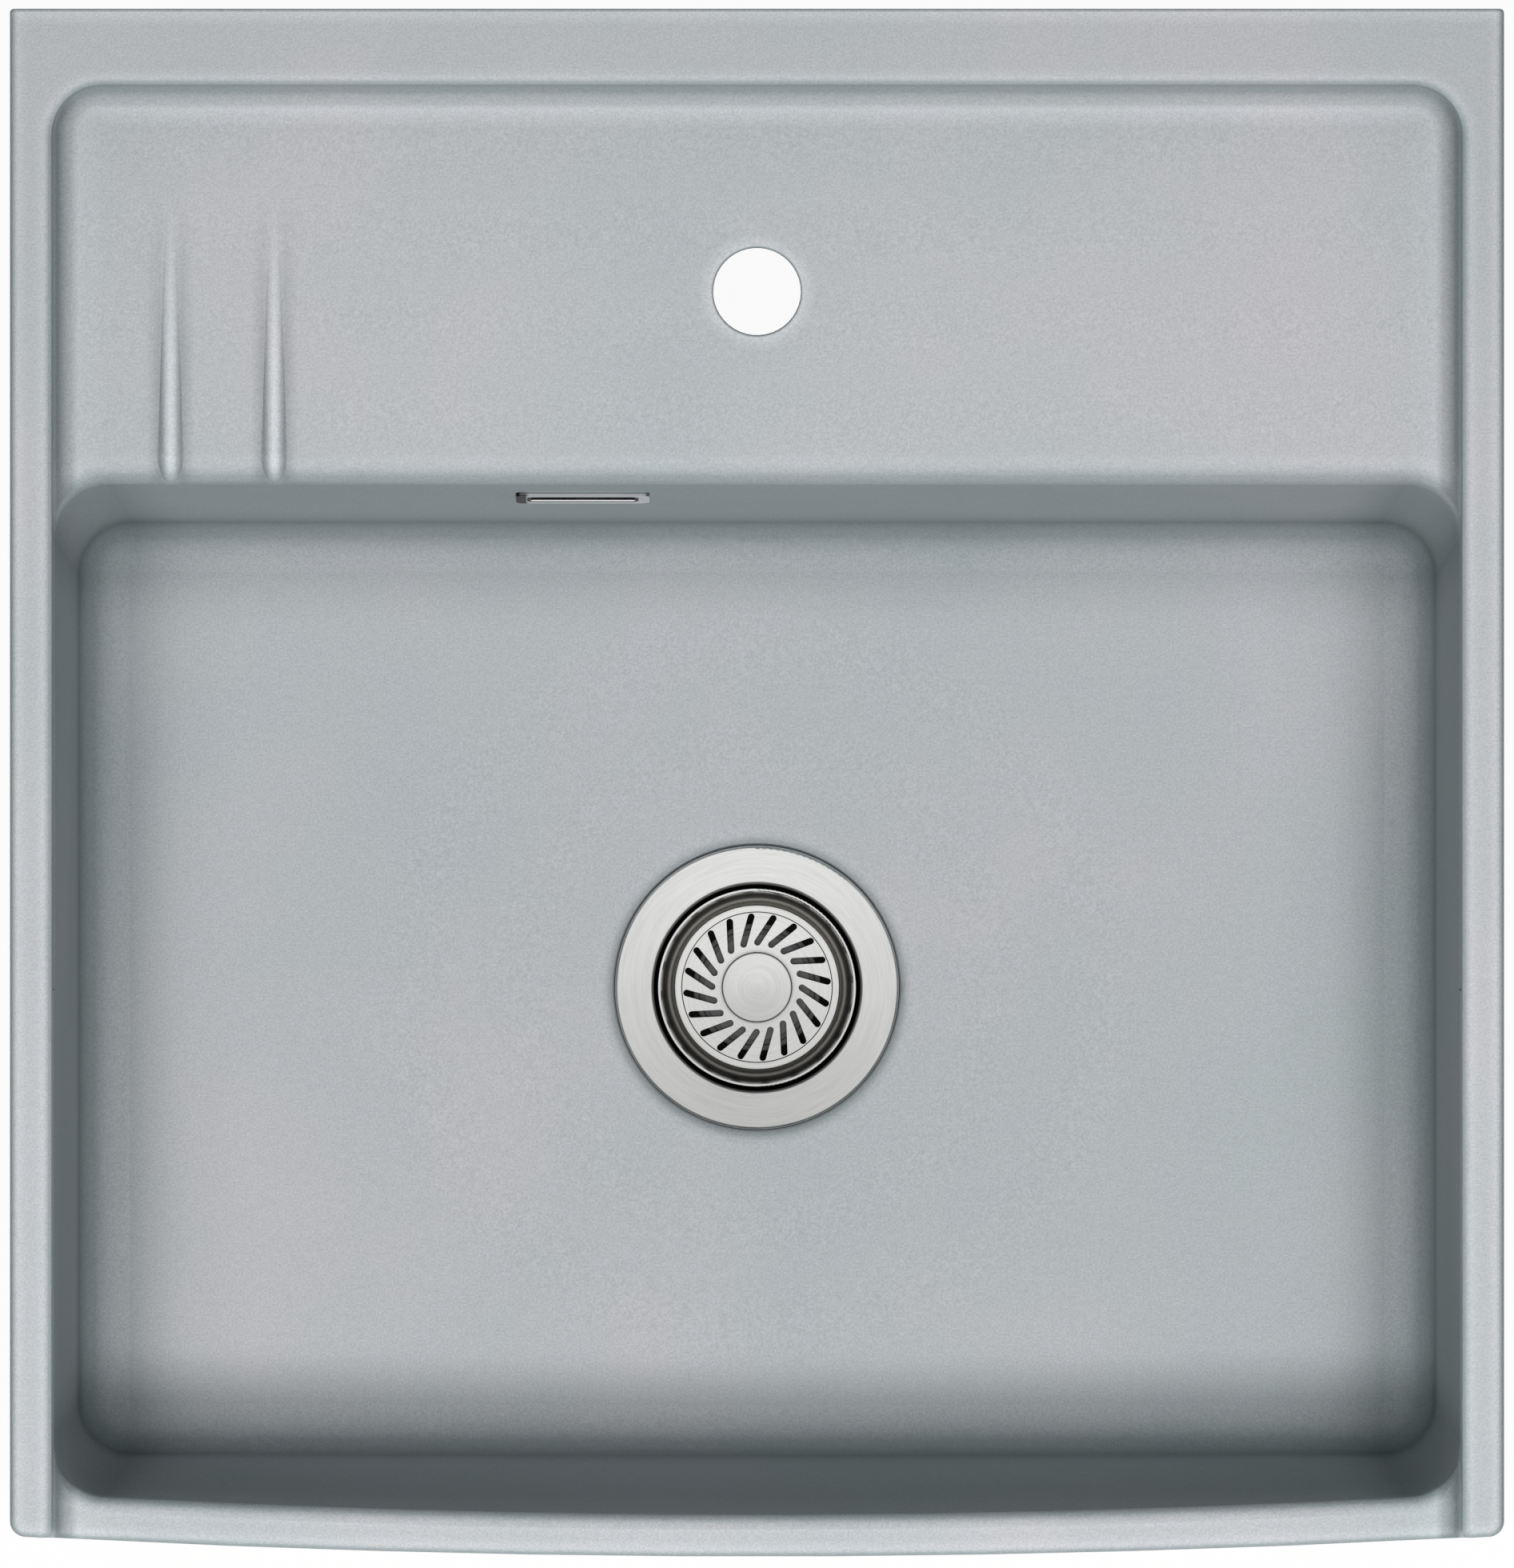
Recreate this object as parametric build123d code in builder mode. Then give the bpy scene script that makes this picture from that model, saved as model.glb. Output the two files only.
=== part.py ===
from build123d import *
from math import atan, cos, hypot, radians, sin, tan
import os

os.makedirs("parts", exist_ok=True)

# Millimetres. The waste axis is X0 Y0, the base seat is Z0, +Y is the back and +Z is up.

# Sink body, outside
sink_width = 595.0
sink_depth = 616.5  # back edge to the middle of the bowed front
sink_height = 220.0  # base seat to the top of the rim
front_bow = 8.5  # how far the middle of the front stands ahead of its corners
front_corner_radius = 6.3
waste_from_back = 391.0
skirt_height = 70.0  # top of the rim to the foot of the ledge's skirts
skirt_wall = 14.0
ledge_thickness = 17.0  # at the back of the ledge
foot_width = 24.0
foot_height = 6.0
foot_edge_radius = 2.0

# Rim, ledge and lip
rim_step = 13.5  # top of the rim down to the lip and to the back of the ledge
side_rim_width = 16.6
back_rim_width = 30.3
rim_corner_radius = 20.0
rim_top_radius = 4.0
cove_radius = 9.0
edge_land = 0.5  # straight wall left between two roundings
outer_edge_radius = 3.5
back_edge_radius = 1.5
ledge_fall = 3.5  # from the back rim to the bowl
lip_width = 16.0
ledge_nose_radius = 12.0
lip_nose_radius = 6.0

# Bowl
bowl_floor_thickness = 14.0
bowl_from_back = 189.4  # back edge to the back wall, just under the ledge's nose
back_wall = 17.4  # thickness at the same height
side_wall = 17.3  # thickness at the same height
front_wall_foot = 39.0  # middle of the front to the foot of the bowl's front wall
bowl_side_draft = 2.4
bowl_back_draft = 5.1
bowl_corner_radius = 21.0
bowl_floor_radius = 20.0
floor_fall = 1.8  # towards the waste
floor_fall_margin = 6.5  # level floor left between the fall and the front wall's rounding

# Drip ribs and tap hole
rib_from_side = 63.7
rib_pitch = 41.3
rib_count = 2
rib_from_back = 73.0  # where the level crest comes out of the falling ledge
rib_half_width = 7.0
rib_rise = 2.6
rib_crest_radius = 6.0
rib_root = 2.4
rib_end_radius = 11.0
rib_lead = 15.0  # buried length behind the place where the crest comes out
tap_hole_radius = 17.5
tap_from_back = 112.2
tap_edge_radius = 1.0

# Strainer cup in the bowl floor
waste_hole_gap = 2.3  # round the cup
seat_gap = 0.9  # round the flange
seat_depth = 3.0
seat_lip_width = 5.5  # rounded way down from the floor to the seat
seat_lip_drop = 2.4
flange_seal_thickness = 2.2
flange_seal_reach = 0.4  # past the flange
flange_width = 15.8
flange_thickness = 2.0
flange_edge_radius = 1.5
cup_lip_radius = 2.0
cup_radius = 41.7
cup_straight = 17.4  # flange top to the start of the taper
cup_foot_radius = 37.0
cup_depth = 40.4  # flange top to the cup's floor
cup_sheet = 1.0
cup_bend_radius = 3.0
drain_radius = 23.0
hub_radius = 9.0
spoke_width = 4.0
spoke_thickness = 1.5

# Clamp screw
screw_radius = 3.0
screw_end_gap = 1.5  # above the foot of the insert
screw_head_radius = 6.5
screw_head_height = 3.5
screw_slot_width = 1.4
screw_slot_depth = 1.6
screw_hole_clearance = 0.2
washer_radius = 8.0
washer_thickness = 1.0

# Waste body under the floor
floor_gasket_thickness = 3.0
waste_flange_width = 5.5
waste_flange_thickness = 5.0
waste_bore_gap = 1.3  # round the cup
waste_wall = 3.5
waste_straight = 37.0  # flange top to the start of the funnel
waste_funnel = 14.0
outlet_collar_height = 3.0
outlet_collar_radius = 27.0
outlet_radius = 23.9  # G1 1/2 thread
outlet_bore_radius = 20.5
outlet_length = 19.0
boss_radius = 8.0
boss_floor = 1.5  # under the insert
boss_gap = 2.0  # under the cup's hub
web_width = 3.0
web_height = 8.0
insert_radius = 4.95
insert_length = 12.0
insert_clearance = 0.05

# Overflow in the back wall
overflow_x = -69.7
overflow_drop = 65.0  # below the top of the rim
cover_ear = 3.65  # at each end of the sleeve
cover_edge = 2.9  # above and below the sleeve
cover_thickness = 1.4  # at its top edge
cover_slant = 5.9  # degrees its face leans out from the wall
cover_corner_radius = 3.0
cover_round = 0.4
slot_edge_radius = 0.7  # round the slot in the cover's face
slot_width = 44.0
slot_height = 8.0
slot_wall = 1.1
slot_corner_radius = 2.4
wall_slot_clearance = 0.9
overflow_seal_thickness = 2.0
overflow_seal_margin = 9.0
elbow_flange_thickness = 3.0
elbow_flange_margin = 10.0
elbow_wall = 3.0
elbow_side_gap = 1.9  # at each end of the sleeve
elbow_cavity_height = 20.0
elbow_back_gap = 0.5  # behind the pipe's bore
elbow_drop = 3.0  # the cavity's middle below the slot's middle

# Overflow pipe and its two compression joints
pipe_radius = 10.0
pipe_wall = 1.5
pipe_bend_radius = 32.0
pipe_gap = 2.85  # between the upper nut and the bowl block
pipe_insertion = 14.0
socket_clearance = 0.2
socket_wall = 2.8
socket_length = 15.0
elbow_spigot = 29.0
branch_length = 18.0  # outside the waste body
branch_drop = 21.0  # waste flange's top to the branch's axis
pipe_seal_thickness = 4.0
pipe_seal_clearance = 0.1
nut_grip = 10.0  # length over the socket
nut_lip = 3.0
nut_wall = 4.0
nut_sides = 10
nut_clearance = 0.15

# Strainer basket, knob and plug
basket_rim_gap = 1.5  # to the cup
basket_rim_drop = 1.0  # below the flange top
basket_rim_roll = 1.2
basket_rim_width = 1.2
basket_taper = 5.0  # mouth radius less foot radius
basket_plate_rise = 15.0  # above the cup's floor
basket_sheet = 0.8
basket_bend_radius = 2.2
border_inset = 3.7  # from the foot of the basket's wall
border_rise = 0.4  # above the slotted plate
slot_count = 20
slot_inset = 7.0  # from the border to the middle of a slot
slot_length = 14.3
slot_opening = 2.7
slot_skew = 25.0
slot_start = 99.6
knob_radius = 14.3
knob_thickness = 5.0
knob_gap = 7.0  # finger room under the knob's head
knob_neck_radius = 7.0
knob_edge_radius = 0.8
stem_radius = 3.0
stem_clearance = 0.05
stem_in_knob = 5.5
plug_gap = 0.3  # the plug's rest above the cup's floor
carrier_radius = 21.4
carrier_top_gap = 1.7  # under the basket's plate
carrier_raise = 0.5  # carrier's foot above the seal's foot
carrier_boss_radius = 8.0
carrier_recess_radius = 11.0
plug_radius = 25.9
plug_clearance = 0.1
plug_groove_depth = 1.4
plug_groove_height = 3.0
plug_groove_rise = 4.5
plug_edge_radius = 0.8
plug_top_drop = 0.4  # below the carrier's top
stem_nut_width = 10.0
stem_nut_height = 2.5
stem_end = 0.4  # past the nut
stem_gap = 1.1  # between the stem and the clamp screw

# Levels and places worked out from the sizes above
rim_top = sink_height
lip_top = rim_top - rim_step
skirt_foot = rim_top - skirt_height
ledge_under = lip_top - ledge_thickness
floor_top = foot_height + bowl_floor_thickness
back_y = waste_from_back
front_mid_y = back_y - sink_depth
front_side_y = front_mid_y + front_bow
ledge_back_y = back_y - back_rim_width
bowl_back_y = back_y - bowl_from_back
block_back_y = bowl_back_y + back_wall
front_foot_y = front_mid_y + front_wall_foot
floor_fall_radius = -front_foot_y - bowl_floor_radius - floor_fall_margin
lip_inner_y = front_mid_y + lip_width
half_width = sink_width / 2
rim_inner_x = half_width - side_rim_width
bowl_half_width = half_width - side_wall
cove_size = min(cove_radius, rim_step - rim_top_radius - edge_land)
ledge_slope = ledge_fall / (bowl_from_back - back_rim_width)
nose_z = lip_top - ledge_fall - ledge_nose_radius
void_top = rim_top + rim_step
overflow_z = rim_top - overflow_drop
flange_radius = cup_radius + flange_width
seat_radius = flange_radius + seat_gap
seat_lip_radius = seat_radius + seat_lip_width
waste_hole_radius = cup_radius + cup_sheet + waste_hole_gap
waste_bore_radius = cup_radius + cup_sheet + waste_bore_gap
waste_flange_radius = waste_bore_radius + waste_wall + waste_flange_width
seat_lip_top = floor_top - floor_fall
seat_z = seat_lip_top - seat_depth
flange_under = seat_z + flange_seal_thickness
flange_top = flange_under + flange_thickness
cup_floor = flange_top - cup_depth
washer_top = cup_floor + washer_thickness
waste_top = foot_height - floor_gasket_thickness
funnel_top = waste_top - waste_straight
funnel_foot = funnel_top - waste_funnel
collar_foot = funnel_foot - outlet_collar_height
boss_top = cup_floor - spoke_thickness - boss_gap
insert_foot = boss_top - insert_length
socket_bore = pipe_radius + socket_clearance
socket_radius = socket_bore + socket_wall
nut_bore = socket_radius + nut_clearance
pipe_bore = pipe_radius - pipe_wall
pipe_y = block_back_y + nut_bore + nut_wall + pipe_gap
pipe_reach = hypot(overflow_x, pipe_y)  # waste axis to the upright pipe's axis
branch_z = waste_top - branch_drop
branch_end = waste_bore_radius + waste_wall + branch_length
elbow_z = overflow_z - elbow_drop
spigot_foot = elbow_z - elbow_cavity_height / 2 - elbow_wall - elbow_spigot
basket_top = flange_top - basket_rim_drop
basket_rim_radius = cup_radius - basket_rim_gap
basket_mouth_radius = basket_rim_radius - basket_rim_width
basket_foot_radius = basket_mouth_radius - basket_taper
border_radius = basket_foot_radius - border_inset
plate_top = cup_floor + basket_plate_rise
plate_under = plate_top - basket_sheet
border_top = plate_top + border_rise
border_under = border_top - basket_sheet
plug_foot = cup_floor + plug_gap
carrier_foot = plug_foot + carrier_raise
carrier_top = plate_under - carrier_top_gap
stem_foot = washer_top + screw_head_height + stem_gap
nut_foot = stem_foot + stem_end
carrier_recess_top = nut_foot + stem_nut_height


def side_x(z):
    return bowl_half_width + (z - nose_z) * tan(radians(bowl_side_draft))


def back_wall_y(z):
    return bowl_back_y + (z - nose_z) * tan(radians(bowl_back_draft))


def ledge_z(y):
    return lip_top - ledge_slope * (ledge_back_y - y)


def corner(sketch, x, y):
    return sketch.vertices().sort_by_distance((x, y, 0))[0]


def ring(inner_radius, outer_radius, foot, top):
    with BuildPart() as band:
        with BuildSketch(Plane.XY.offset(foot)):
            Circle(outer_radius)
            Circle(inner_radius, mode=Mode.SUBTRACT)
        extrude(amount=top - foot)
    return band


def finish(builder, name):
    builder.part.label = name
    export_step(builder.part, f"parts/{name}.step")


# The space of the bowl, from its floor to above the rim.
# Its front wall is straight at the foot and bowed at the lip.
bow_grows = (void_top - floor_top) / (lip_top - floor_top)
void_front_y = front_foot_y + (lip_inner_y - front_foot_y) * bow_grows
void_side_y = void_front_y + front_bow * bow_grows

with BuildPart() as bowl_space:
    with BuildSketch(Plane.XY.offset(floor_top)):
        with BuildLine():
            Polyline(
                (-side_x(floor_top), front_foot_y),
                (-side_x(floor_top), back_wall_y(floor_top)),
                (side_x(floor_top), back_wall_y(floor_top)),
                (side_x(floor_top), front_foot_y),
                close=True,
            )
        make_face()
    with BuildSketch(Plane.XY.offset(void_top)):
        with BuildLine():
            Polyline(
                (-side_x(void_top), void_side_y),
                (-side_x(void_top), back_wall_y(void_top)),
                (side_x(void_top), back_wall_y(void_top)),
                (side_x(void_top), void_side_y),
            )
            ThreePointArc(
                (side_x(void_top), void_side_y), (0, void_front_y), (-side_x(void_top), void_side_y)
            )
        make_face()
    loft(ruled=True)
    corners = bowl_space.edges().filter_by(lambda e: abs(e.start_point().Z - e.end_point().Z) > lip_top / 2)
    fillet(corners, bowl_corner_radius)
    fillet(bowl_space.edges().group_by(Axis.Z)[0], bowl_floor_radius)

with BuildSketch() as plan:
    with BuildLine():
        Polyline(
            (-half_width, front_side_y),
            (-half_width, back_y),
            (half_width, back_y),
            (half_width, front_side_y),
        )
        ThreePointArc((half_width, front_side_y), (0, front_mid_y), (-half_width, front_side_y))
    make_face()
    fillet(plan.vertices().group_by(Axis.Y)[0], front_corner_radius)

# The body up to the lip's height, with the ledge falling towards the bowl
with BuildPart() as deck:
    add(plan.sketch)
    extrude(amount=lip_top)
    with BuildSketch(Plane.YZ.offset(-half_width)):
        with BuildLine():
            Polyline((ledge_back_y, lip_top), (0, lip_top), (0, ledge_z(0)), close=True)
        make_face()
    extrude(amount=sink_width, mode=Mode.SUBTRACT)
    add(bowl_space.part, mode=Mode.SUBTRACT)

with BuildPart() as rim:
    with BuildSketch(Plane.XY.offset(skirt_foot)):
        add(plan.sketch)
        with BuildSketch(mode=Mode.SUBTRACT) as recess:
            with BuildLine():
                Polyline(
                    (-rim_inner_x, front_mid_y),
                    (-rim_inner_x, ledge_back_y),
                    (rim_inner_x, ledge_back_y),
                    (rim_inner_x, front_mid_y),
                    close=True,
                )
            make_face()
            fillet(recess.vertices().group_by(Axis.Y)[-1], rim_corner_radius)
    extrude(amount=skirt_height)


# Each half of the body gets its nose round the bowl, then the rim, then the cove at the rim's foot.
# A rounding runs on along the whole smooth chain of edges from the one that is picked here.
def at_middle(edge):
    return abs(edge.center().X) < 1


with BuildPart() as rear_half:
    add(deck.part)
    split(bisect_by=Plane.XZ, keep=Keep.BOTTOM)
    nose = rear_half.edges().filter_by(
        lambda e: at_middle(e)
        and e.center().Z > nose_z
        and abs(e.center().Y - bowl_back_y) < ledge_nose_radius
    )
    fillet(nose, ledge_nose_radius)
    add(split(rim.part, bisect_by=Plane.XZ, keep=Keep.BOTTOM, mode=Mode.PRIVATE))
    cove = rear_half.edges().filter_by(
        lambda e: at_middle(e)
        and abs(e.center().Y - ledge_back_y) < 0.1
        and abs(e.center().Z - lip_top) < 0.1
    )
    fillet(cove, cove_size)

with BuildPart() as front_half:
    add(deck.part)
    split(bisect_by=Plane.XZ, keep=Keep.TOP)
    nose = front_half.edges().filter_by(
        lambda e: at_middle(e) and abs(e.center().Z - lip_top) < 0.1 and abs(e.center().Y - lip_inner_y) < 1
    )
    fillet(nose, lip_nose_radius)
    add(split(rim.part, bisect_by=Plane.XZ, keep=Keep.TOP, mode=Mode.PRIVATE))
    cove = front_half.edges().filter_by(
        lambda e: abs(abs(e.center().X) - rim_inner_x) < 0.1 and abs(e.center().Z - lip_top) < 0.1
    )
    fillet(cove, cove_size)

# A rib's section, crest at the origin: a round crest between two coves that run out level
rib_turn = 2 * atan(rib_rise / rib_half_width)
crest_x = rib_crest_radius * sin(rib_turn)
crest_drop = rib_crest_radius * (1 - cos(rib_turn))
rib_top = ledge_z(back_y - rib_from_back)
rib_start_y = back_y - rib_from_back + rib_lead
rib_bend_y = bowl_back_y + ledge_nose_radius
rib_bend = rib_end_radius * sin(radians(45))

# The overflow's own plane lies on the bowl's back wall and faces into the bowl
wall_tilt = radians(bowl_back_draft)
overflow_plane = Plane(
    origin=(overflow_x, back_wall_y(overflow_z), overflow_z),
    x_dir=(1, 0, 0),
    z_dir=(0, -cos(wall_tilt), sin(wall_tilt)),
)
wall_run = (block_back_y - overflow_plane.origin.Y) / cos(wall_tilt)
sleeve_width = slot_width + 2 * slot_wall
sleeve_height = slot_height + 2 * slot_wall
wall_slot_width = sleeve_width + 2 * wall_slot_clearance
wall_slot_height = sleeve_height + 2 * wall_slot_clearance

with BuildPart() as sink_body:
    add(rear_half.part)
    add(front_half.part)
    at_rim_top = sink_body.edges().filter_by(lambda e: abs(e.center().Z - rim_top) < 0.1)
    fillet(at_rim_top.filter_by(lambda e: abs(e.center().Y - ledge_back_y) < 0.1), rim_top_radius)
    at_rim_top = sink_body.edges().filter_by(lambda e: abs(e.center().Z - rim_top) < 0.1)
    fillet(at_rim_top.filter_by(lambda e: abs(abs(e.center().X) - half_width) < 0.1), outer_edge_radius)
    at_rim_top = sink_body.edges().filter_by(lambda e: abs(e.center().Z - rim_top) < 0.1)
    fillet(at_rim_top.filter_by(lambda e: abs(e.center().Y - back_y) < 0.1), back_edge_radius)

    # the open space behind the bowl block, and under the ledge between its skirts
    with BuildSketch():
        with Locations((0, block_back_y)):
            Rectangle(sink_width, back_y - block_back_y, align=(Align.CENTER, Align.MIN))
    extrude(amount=skirt_foot, mode=Mode.SUBTRACT)
    with BuildSketch(Plane.XY.offset(skirt_foot)):
        with Locations((0, block_back_y)):
            Rectangle(
                sink_width - 2 * skirt_wall,
                back_y - block_back_y - skirt_wall,
                align=(Align.CENTER, Align.MIN),
            )
    extrude(amount=ledge_under - skirt_foot, mode=Mode.SUBTRACT)
    with BuildSketch():
        with Locations((0, front_side_y + foot_width)):
            Rectangle(
                sink_width - 2 * foot_width,
                block_back_y - front_side_y - 2 * foot_width,
                align=(Align.CENTER, Align.MIN),
            )
    extrude(amount=foot_height, mode=Mode.SUBTRACT)
    fillet(sink_body.faces().sort_by(Axis.Z)[0].outer_wire().edges(), foot_edge_radius)

    # the floor's fall, the flange's seat and the waste hole
    with BuildSketch(Plane.XZ):
        with BuildLine():
            Polyline(
                (seat_radius, seat_lip_top - seat_lip_drop),
                (seat_radius, seat_z),
                (waste_hole_radius, seat_z),
                (waste_hole_radius, 0),
                (0, 0),
                (0, floor_top),
                (floor_fall_radius, floor_top),
                (seat_lip_radius, seat_lip_top),
            )
            TangentArc(
                (seat_lip_radius, seat_lip_top),
                (seat_radius, seat_lip_top - seat_lip_drop),
                tangent=(seat_lip_radius - floor_fall_radius, -floor_fall),
            )
        make_face()
    revolve(axis=Axis.Z, mode=Mode.SUBTRACT)

    for rib in range(rib_count):
        rib_x = rib * rib_pitch + rib_from_side - half_width
        with BuildLine(Plane.YZ.offset(rib_x)) as crest:
            Line((rib_start_y, rib_top), (rib_bend_y, rib_top))
            ThreePointArc(
                (rib_bend_y, rib_top),
                (rib_bend_y - rib_bend, rib_top - rib_end_radius + rib_bend),
                (rib_bend_y - rib_end_radius, rib_top - rib_end_radius),
            )
        with BuildSketch(Plane(origin=(rib_x, rib_start_y, rib_top), x_dir=(1, 0, 0), z_dir=(0, -1, 0))):
            with BuildLine():
                TangentArc((-rib_half_width, -rib_rise), (-crest_x, -crest_drop), tangent=(1, 0))
                ThreePointArc((-crest_x, -crest_drop), (0, 0), (crest_x, -crest_drop))
                TangentArc((rib_half_width, -rib_rise), (crest_x, -crest_drop), tangent=(-1, 0))
                Polyline(
                    (rib_half_width, -rib_rise),
                    (rib_half_width, -rib_rise - rib_root),
                    (-rib_half_width, -rib_rise - rib_root),
                    (-rib_half_width, -rib_rise),
                )
            make_face()
        sweep(path=crest.line)

    with BuildSketch(Plane.XY.offset(ledge_under)):
        with Locations((0, back_y - tap_from_back)):
            Circle(tap_hole_radius)
    extrude(amount=ledge_thickness, mode=Mode.SUBTRACT)
    tap_edge = sink_body.edges().filter_by(GeomType.ELLIPSE).filter_by(
        lambda e: abs(e.arc_center.Y - back_y + tap_from_back) < 1
    )
    fillet(tap_edge, tap_edge_radius)

    with BuildSketch(overflow_plane):
        RectangleRounded(wall_slot_width, wall_slot_height, slot_corner_radius + slot_wall)
    extrude(amount=-wall_run - wall_slot_height, mode=Mode.SUBTRACT)
finish(sink_body, "sink_body")

# Strainer cup: the flange, the tapered cup and the hub that the clamp screw pulls on
cup_bend_outside = cup_bend_radius + cup_sheet

with BuildPart() as strainer_cup:
    with BuildSketch(Plane.XZ) as section:
        with BuildLine():
            Polyline(
                (flange_radius, flange_under),
                (flange_radius, flange_top),
                (cup_radius, flange_top),
                (cup_radius, flange_top - cup_straight),
                (cup_foot_radius, cup_floor),
                (drain_radius, cup_floor),
                (drain_radius, cup_floor - cup_sheet),
                (cup_foot_radius + cup_sheet, cup_floor - cup_sheet),
                (cup_radius + cup_sheet, flange_top - cup_straight),
                (cup_radius + cup_sheet, flange_under),
                close=True,
            )
        make_face()
        fillet(corner(section, flange_radius, flange_top), flange_edge_radius)
        fillet(corner(section, cup_radius, flange_top), cup_lip_radius)
        fillet(corner(section, cup_foot_radius, cup_floor), cup_bend_radius)
        fillet(corner(section, cup_foot_radius + cup_sheet, cup_floor - cup_sheet), cup_bend_outside)
    revolve(axis=Axis.Z)
    with BuildSketch(Plane.XY.offset(cup_floor - spoke_thickness)):
        Circle(hub_radius)
        with PolarLocations(0, 2):
            Rectangle(2 * drain_radius + cup_sheet, spoke_width)
        Circle(screw_radius + screw_hole_clearance, mode=Mode.SUBTRACT)
    extrude(amount=spoke_thickness)
finish(strainer_cup, "strainer_cup")

flange_seal = ring(waste_hole_radius, flange_radius + flange_seal_reach, seat_z, flange_under)
finish(flange_seal, "flange_seal")

floor_gasket = ring(waste_hole_radius, waste_flange_radius, waste_top, foot_height)
finish(floor_gasket, "floor_gasket")

screw_washer = ring(screw_radius + screw_hole_clearance, washer_radius, cup_floor, washer_top)
finish(screw_washer, "screw_washer")

with BuildPart() as clamp_screw:
    with BuildSketch(Plane.XY.offset(washer_top)):
        Circle(screw_head_radius)
    extrude(amount=screw_head_height)
    with BuildSketch(Plane.XY.offset(washer_top + screw_head_height)):
        Rectangle(2 * screw_head_radius, screw_slot_width)
    extrude(amount=-screw_slot_depth, mode=Mode.SUBTRACT)
    with BuildSketch(Plane.XY.offset(insert_foot + screw_end_gap)):
        Circle(screw_radius)
    extrude(amount=washer_top - insert_foot - screw_end_gap)
finish(clamp_screw, "clamp_screw")

thread_insert = ring(screw_radius + insert_clearance, insert_radius, insert_foot, boss_top)
finish(thread_insert, "thread_insert")

# Waste body: the branch points straight at the upright overflow pipe
branch_way = Vector(overflow_x, pipe_y, 0).normalized()
branch_plane = Plane(origin=(0, 0, branch_z), x_dir=(0, 0, 1), z_dir=branch_way)
web_turn = Vector(1, 0, 0).get_angle(branch_way) + 45

with BuildPart() as waste_body:
    with BuildSketch(Plane.XZ):
        with BuildLine():
            Polyline(
                (waste_bore_radius, waste_top),
                (waste_flange_radius, waste_top),
                (waste_flange_radius, waste_top - waste_flange_thickness),
                (waste_bore_radius + waste_wall, waste_top - waste_flange_thickness),
                (waste_bore_radius + waste_wall, funnel_top),
                (outlet_collar_radius, funnel_foot),
                (outlet_collar_radius, collar_foot),
                (outlet_radius, collar_foot),
                (outlet_radius, collar_foot - outlet_length),
                (outlet_bore_radius, collar_foot - outlet_length),
                (outlet_bore_radius, funnel_foot),
                (waste_bore_radius, funnel_top),
                close=True,
            )
        make_face()
    revolve(axis=Axis.Z)
    with BuildSketch(Plane.XY.offset(boss_top)):
        with PolarLocations(0, 2, start_angle=web_turn):
            Rectangle(2 * waste_bore_radius + waste_wall, web_width)
    extrude(amount=-web_height)
    with BuildSketch(Plane.XY.offset(boss_top)):
        Circle(boss_radius)
    extrude(amount=-insert_length - boss_floor)
    with BuildSketch(Plane.XY.offset(boss_top)):
        Circle(insert_radius + insert_clearance)
    extrude(amount=-insert_length, mode=Mode.SUBTRACT)
    with BuildSketch(branch_plane.offset(waste_bore_radius)):
        Circle(socket_radius)
    extrude(amount=waste_wall + branch_length)
    with BuildSketch(branch_plane.offset(branch_end)):
        Circle(socket_bore)
    extrude(amount=-socket_length, mode=Mode.SUBTRACT)
    with BuildSketch(branch_plane.offset(branch_end)):
        Circle(pipe_bore)
    extrude(amount=-branch_length - 2 * waste_wall, mode=Mode.SUBTRACT)
finish(waste_body, "waste_body")

# Overflow: the chrome cover with its sleeve through the wall, the seal and the elbow behind it
sleeve_length = wall_run + overflow_seal_thickness + elbow_flange_thickness

cover_height = sleeve_height + 2 * cover_edge
cover_foot_thickness = cover_thickness + cover_height * tan(radians(cover_slant))
face_tilt = wall_tilt + radians(cover_slant)
cover_face = Plane(
    origin=overflow_plane.from_local_coords((0, cover_height / 2, cover_thickness)),
    x_dir=(1, 0, 0),
    z_dir=(0, -cos(face_tilt), sin(face_tilt)),
)


def front_face(builder):
    return builder.faces().filter_by(lambda f: f.normal_at().Y < -0.9)[0]


with BuildPart() as overflow_cover:
    with BuildSketch(overflow_plane):
        RectangleRounded(sleeve_width + 2 * cover_ear, cover_height, cover_corner_radius)
    extrude(amount=cover_foot_thickness)
    split(bisect_by=cover_face, keep=Keep.BOTTOM)
    with BuildSketch(overflow_plane.offset(-sleeve_length)):
        RectangleRounded(sleeve_width, sleeve_height, slot_corner_radius + slot_wall)
    extrude(amount=sleeve_length)
    with BuildSketch(overflow_plane.offset(-sleeve_length)):
        RectangleRounded(slot_width, slot_height, slot_corner_radius)
    extrude(amount=sleeve_length + cover_foot_thickness, mode=Mode.SUBTRACT)
    fillet(front_face(overflow_cover).inner_wires()[0].edges(), slot_edge_radius)
    fillet(front_face(overflow_cover).outer_wire().edges(), cover_round)
finish(overflow_cover, "overflow_cover")

elbow_cavity_width = sleeve_width + 2 * elbow_side_gap
elbow_cavity_depth = pipe_y - block_back_y - overflow_seal_thickness + pipe_bore + elbow_back_gap
seal_face = Plane(origin=(overflow_x, block_back_y, elbow_z), x_dir=(-1, 0, 0), z_dir=(0, 1, 0))
elbow_face = seal_face.offset(overflow_seal_thickness)

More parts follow.
